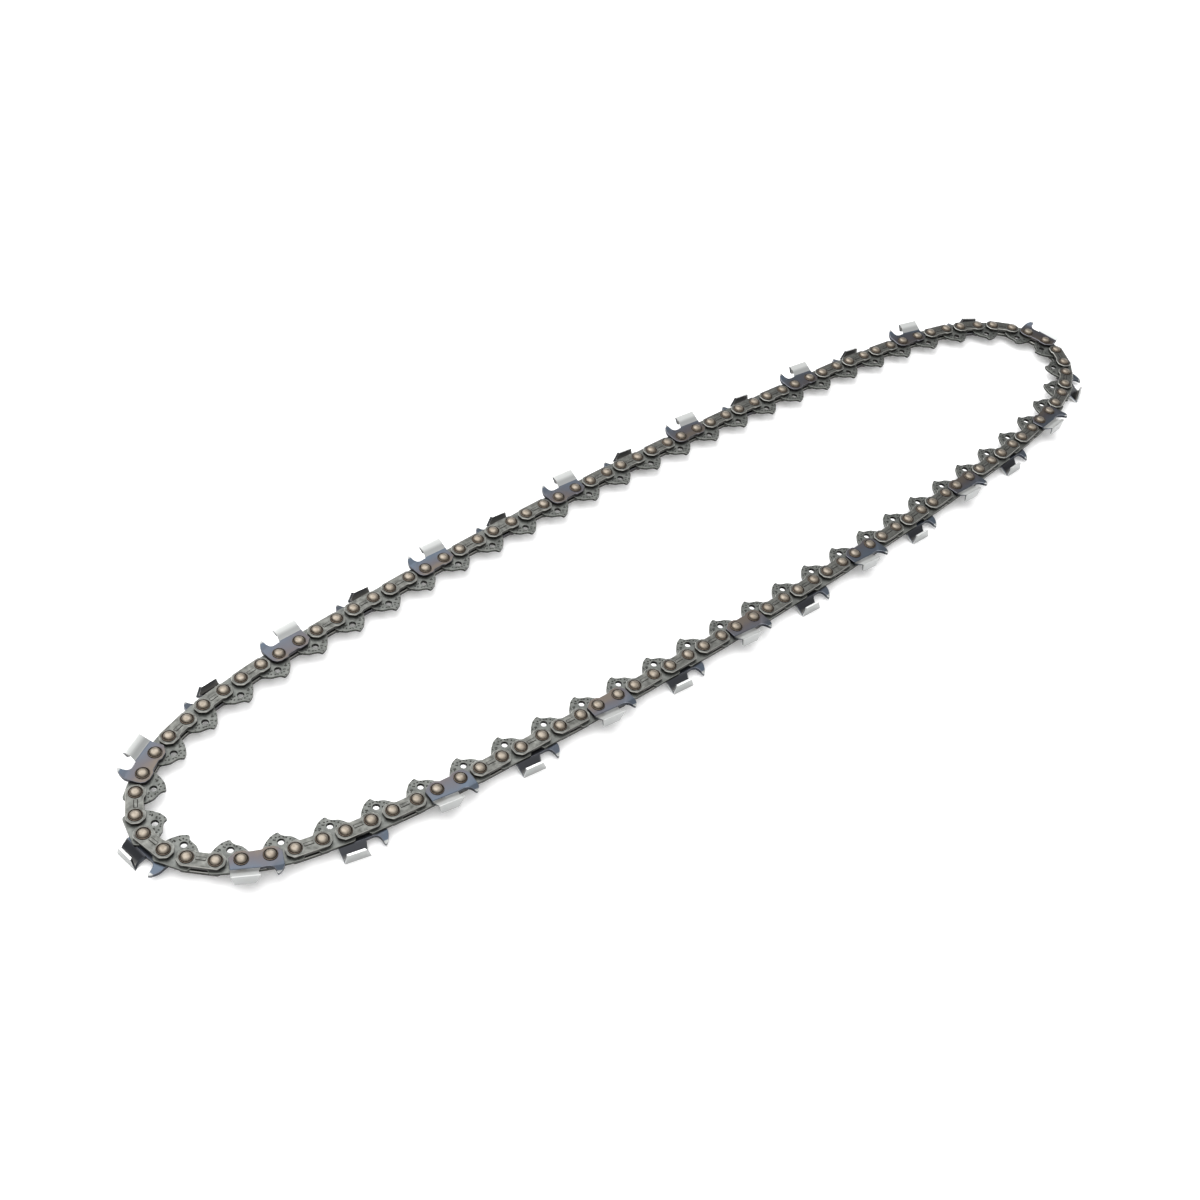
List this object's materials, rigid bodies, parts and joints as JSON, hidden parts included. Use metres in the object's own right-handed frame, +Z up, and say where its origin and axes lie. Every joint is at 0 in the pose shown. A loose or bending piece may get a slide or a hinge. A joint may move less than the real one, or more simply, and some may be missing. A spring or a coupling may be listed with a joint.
{
  "type": "chainsaw chain loop",
  "caption": "Closed loop of saw chain lying flat: drive links with inward tangs, riveted side plates, left and right cutters with depth gauges.",
  "frame": {"origin": "middle of the loop, on the surface that it lies on", "axes": "+X along the loop's long runs, +Y across the loop, +Z up, along the rivets"},
  "size_m": [0.5526, 0.1242, 0.0096],
  "materials": {
    "link_steel": "satin grey hardened steel, oiled",
    "cutter_steel": "blued steel with a bright plated cutting edge"
  },
  "bodies": {
    "link_01": {"right_cutter_link_01": "cutter_steel"},
    "link_02": {"plain_link_02": "link_steel"},
    "link_03": {"left_cutter_link_03": "cutter_steel"},
    "link_04": {"plain_link_04": "link_steel"},
    "link_05": {"right_cutter_link_05": "cutter_steel"},
    "link_06": {"plain_link_06": "link_steel"},
    "link_07": {"left_cutter_link_07": "cutter_steel"},
    "link_08": {"plain_link_08": "link_steel"},
    "link_09": {"right_cutter_link_09": "cutter_steel"},
    "link_10": {"plain_link_10": "link_steel"},
    "link_11": {"left_cutter_link_11": "cutter_steel"},
    "link_12": {"plain_link_12": "link_steel"},
    "link_13": {"right_cutter_link_13": "cutter_steel"},
    "link_14": {"plain_link_14": "link_steel"},
    "link_15": {"left_cutter_link_15": "cutter_steel"},
    "link_16": {"plain_link_16": "link_steel"},
    "link_17": {"right_cutter_link_17": "cutter_steel"},
    "link_18": {"plain_link_18": "link_steel"},
    "link_19": {"left_cutter_link_19": "cutter_steel"},
    "link_20": {"plain_link_20": "link_steel"},
    "link_21": {"right_cutter_link_21": "cutter_steel"},
    "link_22": {"plain_link_22": "link_steel"},
    "link_23": {"left_cutter_link_23": "cutter_steel"},
    "link_24": {"plain_link_24": "link_steel"},
    "link_25": {"right_cutter_link_25": "cutter_steel"},
    "link_26": {"plain_link_26": "link_steel"},
    "link_27": {"left_cutter_link_27": "cutter_steel"},
    "link_28": {"plain_link_28": "link_steel"},
    "link_29": {"right_cutter_link_29": "cutter_steel"},
    "link_30": {"plain_link_30": "link_steel"},
    "link_31": {"left_cutter_link_31": "cutter_steel"},
    "link_32": {"plain_link_32": "link_steel"},
    "link_33": {"right_cutter_link_33": "cutter_steel"},
    "link_34": {"plain_link_34": "link_steel"},
    "link_35": {"left_cutter_link_35": "cutter_steel"},
    "link_36": {"plain_link_36": "link_steel"},
    "link_37": {"right_cutter_link_37": "cutter_steel"},
    "link_38": {"plain_link_38": "link_steel"},
    "link_39": {"left_cutter_link_39": "cutter_steel"},
    "link_40": {"plain_link_40": "link_steel"},
    "link_41": {"right_cutter_link_41": "cutter_steel"},
    "link_42": {"plain_link_42": "link_steel"},
    "link_43": {"left_cutter_link_43": "cutter_steel"},
    "link_44": {"plain_link_44": "link_steel"},
    "link_45": {"right_cutter_link_45": "cutter_steel"},
    "link_46": {"plain_link_46": "link_steel"},
    "link_47": {"left_cutter_link_47": "cutter_steel"},
    "link_48": {"plain_link_48": "link_steel"},
    "link_49": {"right_cutter_link_49": "cutter_steel"},
    "link_50": {"plain_link_50": "link_steel"},
    "link_51": {"left_cutter_link_51": "cutter_steel"},
    "link_52": {"plain_link_52": "link_steel"},
    "link_53": {"right_cutter_link_53": "cutter_steel"},
    "link_54": {"plain_link_54": "link_steel"},
    "link_55": {"left_cutter_link_55": "cutter_steel"},
    "link_56": {"plain_link_56": "link_steel"},
    "link_57": {"right_cutter_link_57": "cutter_steel"},
    "link_58": {"plain_link_58": "link_steel"},
    "link_59": {"left_cutter_link_59": "cutter_steel"},
    "link_60": {"plain_link_60": "link_steel"}
  },
  "joints": [
    {"name": "rivet_01", "type": "hinge", "parent": "link_02", "child": "link_01", "pos_m": [-0.26005, -0.01717, 0.0048], "axis": [0, 0, 1], "range_deg": [-1.22, 4.82]},
    {"name": "rivet_02", "type": "hinge", "parent": "link_03", "child": "link_02", "pos_m": [-0.24545, -0.02922, 0.0048], "axis": [0, 0, 1], "range_deg": [-1.22, 4.82]},
    {"name": "rivet_03", "type": "hinge", "parent": "link_04", "child": "link_03", "pos_m": [-0.22792, -0.03661, 0.0048], "axis": [0, 0, 1], "range_deg": [-1.22, 4.82]},
    {"name": "rivet_04", "type": "hinge", "parent": "link_05", "child": "link_04", "pos_m": [-0.20937, -0.04097, 0.0048], "axis": [0, 0, 1], "range_deg": [-1.22, 4.82]},
    {"name": "rivet_05", "type": "hinge", "parent": "link_06", "child": "link_05", "pos_m": [-0.19052, -0.04367, 0.0048], "axis": [0, 0, 1], "range_deg": [-1.22, 4.82]},
    {"name": "rivet_06", "type": "hinge", "parent": "link_07", "child": "link_06", "pos_m": [-0.17158, -0.04567, 0.0048], "axis": [0, 0, 1], "range_deg": [-1.22, 4.82]},
    {"name": "rivet_07", "type": "hinge", "parent": "link_08", "child": "link_07", "pos_m": [-0.1526, -0.04732, 0.0048], "axis": [0, 0, 1], "range_deg": [-1.22, 4.82]},
    {"name": "rivet_08", "type": "hinge", "parent": "link_09", "child": "link_08", "pos_m": [-0.13359, -0.04859, 0.0048], "axis": [0, 0, 1], "range_deg": [-4.82, 1.22]},
    {"name": "rivet_09", "type": "hinge", "parent": "link_10", "child": "link_09", "pos_m": [-0.11457, -0.04952, 0.0048], "axis": [0, 0, 1], "range_deg": [-4.82, 1.22]},
    {"name": "rivet_10", "type": "hinge", "parent": "link_11", "child": "link_10", "pos_m": [-0.09554, -0.05038, 0.0048], "axis": [0, 0, 1], "range_deg": [-4.82, 1.22]},
    {"name": "rivet_11", "type": "hinge", "parent": "link_12", "child": "link_11", "pos_m": [-0.07651, -0.05122, 0.0048], "axis": [0, 0, 1], "range_deg": [-4.82, 1.22]},
    {"name": "rivet_12", "type": "hinge", "parent": "link_13", "child": "link_12", "pos_m": [-0.05747, -0.05183, 0.0048], "axis": [0, 0, 1], "range_deg": [-4.82, 1.22]},
    {"name": "rivet_13", "type": "hinge", "parent": "link_14", "child": "link_13", "pos_m": [-0.03842, -0.05212, 0.0048], "axis": [0, 0, 1], "range_deg": [-4.82, 1.22]},
    {"name": "rivet_14", "type": "hinge", "parent": "link_15", "child": "link_14", "pos_m": [-0.01938, -0.05229, 0.0048], "axis": [0, 0, 1], "range_deg": [-4.82, 1.22]},
    {"name": "rivet_15", "type": "hinge", "parent": "link_16", "child": "link_15", "pos_m": [-0.00033, -0.05247, 0.0048], "axis": [0, 0, 1], "range_deg": [-4.82, 1.22]},
    {"name": "rivet_16", "type": "hinge", "parent": "link_16", "child": "link_17", "pos_m": [0.01872, -0.05248, 0.0048], "axis": [0, 0, 1], "range_deg": [-1.2, 4.8]},
    {"name": "rivet_17", "type": "hinge", "parent": "link_17", "child": "link_18", "pos_m": [0.03777, -0.05216, 0.0048], "axis": [0, 0, 1], "range_deg": [-1.22, 4.82]},
    {"name": "rivet_18", "type": "hinge", "parent": "link_18", "child": "link_19", "pos_m": [0.05681, -0.05167, 0.0048], "axis": [0, 0, 1], "range_deg": [-1.22, 4.82]},
    {"name": "rivet_19", "type": "hinge", "parent": "link_19", "child": "link_20", "pos_m": [0.07585, -0.05118, 0.0048], "axis": [0, 0, 1], "range_deg": [-1.22, 4.82]},
    {"name": "rivet_20", "type": "hinge", "parent": "link_20", "child": "link_21", "pos_m": [0.09489, -0.05057, 0.0048], "axis": [0, 0, 1], "range_deg": [-1.22, 4.82]},
    {"name": "rivet_21", "type": "hinge", "parent": "link_21", "child": "link_22", "pos_m": [0.11392, -0.04965, 0.0048], "axis": [0, 0, 1], "range_deg": [-1.22, 4.82]},
    {"name": "rivet_22", "type": "hinge", "parent": "link_22", "child": "link_23", "pos_m": [0.13293, -0.04848, 0.0048], "axis": [0, 0, 1], "range_deg": [-1.22, 4.82]},
    {"name": "rivet_23", "type": "hinge", "parent": "link_23", "child": "link_24", "pos_m": [0.15194, -0.04726, 0.0048], "axis": [0, 0, 1], "range_deg": [-4.82, 1.22]},
    {"name": "rivet_24", "type": "hinge", "parent": "link_24", "child": "link_25", "pos_m": [0.17094, -0.04586, 0.0048], "axis": [0, 0, 1], "range_deg": [-4.82, 1.22]},
    {"name": "rivet_25", "type": "hinge", "parent": "link_25", "child": "link_26", "pos_m": [0.18988, -0.04389, 0.0048], "axis": [0, 0, 1], "range_deg": [-4.82, 1.22]},
    {"name": "rivet_26", "type": "hinge", "parent": "link_26", "child": "link_27", "pos_m": [0.20871, -0.04099, 0.0048], "axis": [0, 0, 1], "range_deg": [-4.82, 1.22]},
    {"name": "rivet_27", "type": "hinge", "parent": "link_27", "child": "link_28", "pos_m": [0.22724, -0.03666, 0.0048], "axis": [0, 0, 1], "range_deg": [-4.82, 1.22]},
    {"name": "rivet_28", "type": "hinge", "parent": "link_28", "child": "link_29", "pos_m": [0.24491, -0.02963, 0.0048], "axis": [0, 0, 1], "range_deg": [-4.82, 1.22]},
    {"name": "rivet_29", "type": "hinge", "parent": "link_29", "child": "link_30", "pos_m": [0.25979, -0.01783, 0.0048], "axis": [0, 0, 1], "range_deg": [-4.82, 1.22]},
    {"name": "rivet_30", "type": "hinge", "parent": "link_30", "child": "link_31", "pos_m": [0.26676, -0.00036, 0.0048], "axis": [0, 0, 1], "range_deg": [-4.82, 1.22]},
    {"name": "rivet_31", "type": "hinge", "parent": "link_31", "child": "link_32", "pos_m": [0.26005, 0.01717, 0.0048], "axis": [0, 0, 1], "range_deg": [-4.82, 1.22]},
    {"name": "rivet_32", "type": "hinge", "parent": "link_32", "child": "link_33", "pos_m": [0.24545, 0.02922, 0.0048], "axis": [0, 0, 1], "range_deg": [-4.82, 1.22]},
    {"name": "rivet_33", "type": "hinge", "parent": "link_33", "child": "link_34", "pos_m": [0.22792, 0.03661, 0.0048], "axis": [0, 0, 1], "range_deg": [-4.82, 1.22]},
    {"name": "rivet_34", "type": "hinge", "parent": "link_34", "child": "link_35", "pos_m": [0.20937, 0.04097, 0.0048], "axis": [0, 0, 1], "range_deg": [-4.82, 1.22]},
    {"name": "rivet_35", "type": "hinge", "parent": "link_35", "child": "link_36", "pos_m": [0.19052, 0.04367, 0.0048], "axis": [0, 0, 1], "range_deg": [-4.82, 1.22]},
    {"name": "rivet_36", "type": "hinge", "parent": "link_36", "child": "link_37", "pos_m": [0.17158, 0.04567, 0.0048], "axis": [0, 0, 1], "range_deg": [-4.82, 1.22]},
    {"name": "rivet_37", "type": "hinge", "parent": "link_37", "child": "link_38", "pos_m": [0.1526, 0.04732, 0.0048], "axis": [0, 0, 1], "range_deg": [-4.82, 1.22]},
    {"name": "rivet_38", "type": "hinge", "parent": "link_38", "child": "link_39", "pos_m": [0.13359, 0.04859, 0.0048], "axis": [0, 0, 1], "range_deg": [-1.22, 4.82]},
    {"name": "rivet_39", "type": "hinge", "parent": "link_39", "child": "link_40", "pos_m": [0.11457, 0.04952, 0.0048], "axis": [0, 0, 1], "range_deg": [-1.22, 4.82]},
    {"name": "rivet_40", "type": "hinge", "parent": "link_40", "child": "link_41", "pos_m": [0.09554, 0.05038, 0.0048], "axis": [0, 0, 1], "range_deg": [-1.22, 4.82]},
    {"name": "rivet_41", "type": "hinge", "parent": "link_41", "child": "link_42", "pos_m": [0.07651, 0.05122, 0.0048], "axis": [0, 0, 1], "range_deg": [-1.22, 4.82]},
    {"name": "rivet_42", "type": "hinge", "parent": "link_42", "child": "link_43", "pos_m": [0.05747, 0.05183, 0.0048], "axis": [0, 0, 1], "range_deg": [-1.22, 4.82]},
    {"name": "rivet_43", "type": "hinge", "parent": "link_43", "child": "link_44", "pos_m": [0.03842, 0.05212, 0.0048], "axis": [0, 0, 1], "range_deg": [-1.22, 4.82]},
    {"name": "rivet_44", "type": "hinge", "parent": "link_44", "child": "link_45", "pos_m": [0.01938, 0.05229, 0.0048], "axis": [0, 0, 1], "range_deg": [-1.22, 4.82]},
    {"name": "rivet_45", "type": "hinge", "parent": "link_45", "child": "link_46", "pos_m": [0.00033, 0.05247, 0.0048], "axis": [0, 0, 1], "range_deg": [-1.22, 4.82]},
    {"name": "rivet_46", "type": "hinge", "parent": "link_46", "child": "link_47", "pos_m": [-0.01872, 0.05248, 0.0048], "axis": [0, 0, 1], "range_deg": [-1.22, 4.82]},
    {"name": "rivet_47", "type": "hinge", "parent": "link_47", "child": "link_48", "pos_m": [-0.03777, 0.05216, 0.0048], "axis": [0, 0, 1], "range_deg": [-1.22, 4.82]},
    {"name": "rivet_48", "type": "hinge", "parent": "link_48", "child": "link_49", "pos_m": [-0.05681, 0.05167, 0.0048], "axis": [0, 0, 1], "range_deg": [-1.22, 4.82]},
    {"name": "rivet_49", "type": "hinge", "parent": "link_49", "child": "link_50", "pos_m": [-0.07585, 0.05118, 0.0048], "axis": [0, 0, 1], "range_deg": [-1.22, 4.82]},
    {"name": "rivet_50", "type": "hinge", "parent": "link_50", "child": "link_51", "pos_m": [-0.09489, 0.05057, 0.0048], "axis": [0, 0, 1], "range_deg": [-1.22, 4.82]},
    {"name": "rivet_51", "type": "hinge", "parent": "link_51", "child": "link_52", "pos_m": [-0.11392, 0.04965, 0.0048], "axis": [0, 0, 1], "range_deg": [-1.22, 4.82]},
    {"name": "rivet_52", "type": "hinge", "parent": "link_52", "child": "link_53", "pos_m": [-0.13293, 0.04848, 0.0048], "axis": [0, 0, 1], "range_deg": [-1.22, 4.82]},
    {"name": "rivet_53", "type": "hinge", "parent": "link_53", "child": "link_54", "pos_m": [-0.15194, 0.04726, 0.0048], "axis": [0, 0, 1], "range_deg": [-4.82, 1.22]},
    {"name": "rivet_54", "type": "hinge", "parent": "link_54", "child": "link_55", "pos_m": [-0.17094, 0.04586, 0.0048], "axis": [0, 0, 1], "range_deg": [-4.82, 1.22]},
    {"name": "rivet_55", "type": "hinge", "parent": "link_55", "child": "link_56", "pos_m": [-0.18988, 0.04389, 0.0048], "axis": [0, 0, 1], "range_deg": [-4.82, 1.22]},
    {"name": "rivet_56", "type": "hinge", "parent": "link_56", "child": "link_57", "pos_m": [-0.20871, 0.04099, 0.0048], "axis": [0, 0, 1], "range_deg": [-4.82, 1.22]},
    {"name": "rivet_57", "type": "hinge", "parent": "link_57", "child": "link_58", "pos_m": [-0.22724, 0.03666, 0.0048], "axis": [0, 0, 1], "range_deg": [-4.82, 1.22]},
    {"name": "rivet_58", "type": "hinge", "parent": "link_58", "child": "link_59", "pos_m": [-0.24491, 0.02963, 0.0048], "axis": [0, 0, 1], "range_deg": [-4.82, 1.22]},
    {"name": "rivet_59", "type": "hinge", "parent": "link_59", "child": "link_60", "pos_m": [-0.25979, 0.01783, 0.0048], "axis": [0, 0, 1], "range_deg": [-4.82, 1.22]}
  ],
  "couplings": [
    {"joint": "rivet_01", "follows": "rivet_16", "ratio": 1},
    {"joint": "rivet_02", "follows": "rivet_16", "ratio": 1},
    {"joint": "rivet_03", "follows": "rivet_16", "ratio": 1},
    {"joint": "rivet_04", "follows": "rivet_16", "ratio": 1},
    {"joint": "rivet_05", "follows": "rivet_16", "ratio": 1},
    {"joint": "rivet_06", "follows": "rivet_16", "ratio": 1},
    {"joint": "rivet_07", "follows": "rivet_16", "ratio": 1},
    {"joint": "rivet_08", "follows": "rivet_16", "ratio": -1},
    {"joint": "rivet_09", "follows": "rivet_16", "ratio": -1},
    {"joint": "rivet_10", "follows": "rivet_16", "ratio": -1},
    {"joint": "rivet_11", "follows": "rivet_16", "ratio": -1},
    {"joint": "rivet_12", "follows": "rivet_16", "ratio": -1},
    {"joint": "rivet_13", "follows": "rivet_16", "ratio": -1},
    {"joint": "rivet_14", "follows": "rivet_16", "ratio": -1},
    {"joint": "rivet_15", "follows": "rivet_16", "ratio": -1},
    {"joint": "rivet_17", "follows": "rivet_16", "ratio": 1},
    {"joint": "rivet_18", "follows": "rivet_16", "ratio": 1},
    {"joint": "rivet_19", "follows": "rivet_16", "ratio": 1},
    {"joint": "rivet_20", "follows": "rivet_16", "ratio": 1},
    {"joint": "rivet_21", "follows": "rivet_16", "ratio": 1},
    {"joint": "rivet_22", "follows": "rivet_16", "ratio": 1},
    {"joint": "rivet_23", "follows": "rivet_16", "ratio": -1},
    {"joint": "rivet_24", "follows": "rivet_16", "ratio": -1},
    {"joint": "rivet_25", "follows": "rivet_16", "ratio": -1},
    {"joint": "rivet_26", "follows": "rivet_16", "ratio": -1},
    {"joint": "rivet_27", "follows": "rivet_16", "ratio": -1},
    {"joint": "rivet_28", "follows": "rivet_16", "ratio": -1},
    {"joint": "rivet_29", "follows": "rivet_16", "ratio": -1},
    {"joint": "rivet_30", "follows": "rivet_16", "ratio": -1},
    {"joint": "rivet_31", "follows": "rivet_16", "ratio": -1},
    {"joint": "rivet_32", "follows": "rivet_16", "ratio": -1},
    {"joint": "rivet_33", "follows": "rivet_16", "ratio": -1},
    {"joint": "rivet_34", "follows": "rivet_16", "ratio": -1},
    {"joint": "rivet_35", "follows": "rivet_16", "ratio": -1},
    {"joint": "rivet_36", "follows": "rivet_16", "ratio": -1},
    {"joint": "rivet_37", "follows": "rivet_16", "ratio": -1},
    {"joint": "rivet_38", "follows": "rivet_16", "ratio": 1},
    {"joint": "rivet_39", "follows": "rivet_16", "ratio": 1},
    {"joint": "rivet_40", "follows": "rivet_16", "ratio": 1},
    {"joint": "rivet_41", "follows": "rivet_16", "ratio": 1},
    {"joint": "rivet_42", "follows": "rivet_16", "ratio": 1},
    {"joint": "rivet_43", "follows": "rivet_16", "ratio": 1},
    {"joint": "rivet_44", "follows": "rivet_16", "ratio": 1},
    {"joint": "rivet_45", "follows": "rivet_16", "ratio": 1},
    {"joint": "rivet_46", "follows": "rivet_16", "ratio": 1},
    {"joint": "rivet_47", "follows": "rivet_16", "ratio": 1},
    {"joint": "rivet_48", "follows": "rivet_16", "ratio": 1},
    {"joint": "rivet_49", "follows": "rivet_16", "ratio": 1},
    {"joint": "rivet_50", "follows": "rivet_16", "ratio": 1},
    {"joint": "rivet_51", "follows": "rivet_16", "ratio": 1},
    {"joint": "rivet_52", "follows": "rivet_16", "ratio": 1},
    {"joint": "rivet_53", "follows": "rivet_16", "ratio": -1},
    {"joint": "rivet_54", "follows": "rivet_16", "ratio": -1},
    {"joint": "rivet_55", "follows": "rivet_16", "ratio": -1},
    {"joint": "rivet_56", "follows": "rivet_16", "ratio": -1},
    {"joint": "rivet_57", "follows": "rivet_16", "ratio": -1},
    {"joint": "rivet_58", "follows": "rivet_16", "ratio": -1},
    {"joint": "rivet_59", "follows": "rivet_16", "ratio": -1}
  ]
}
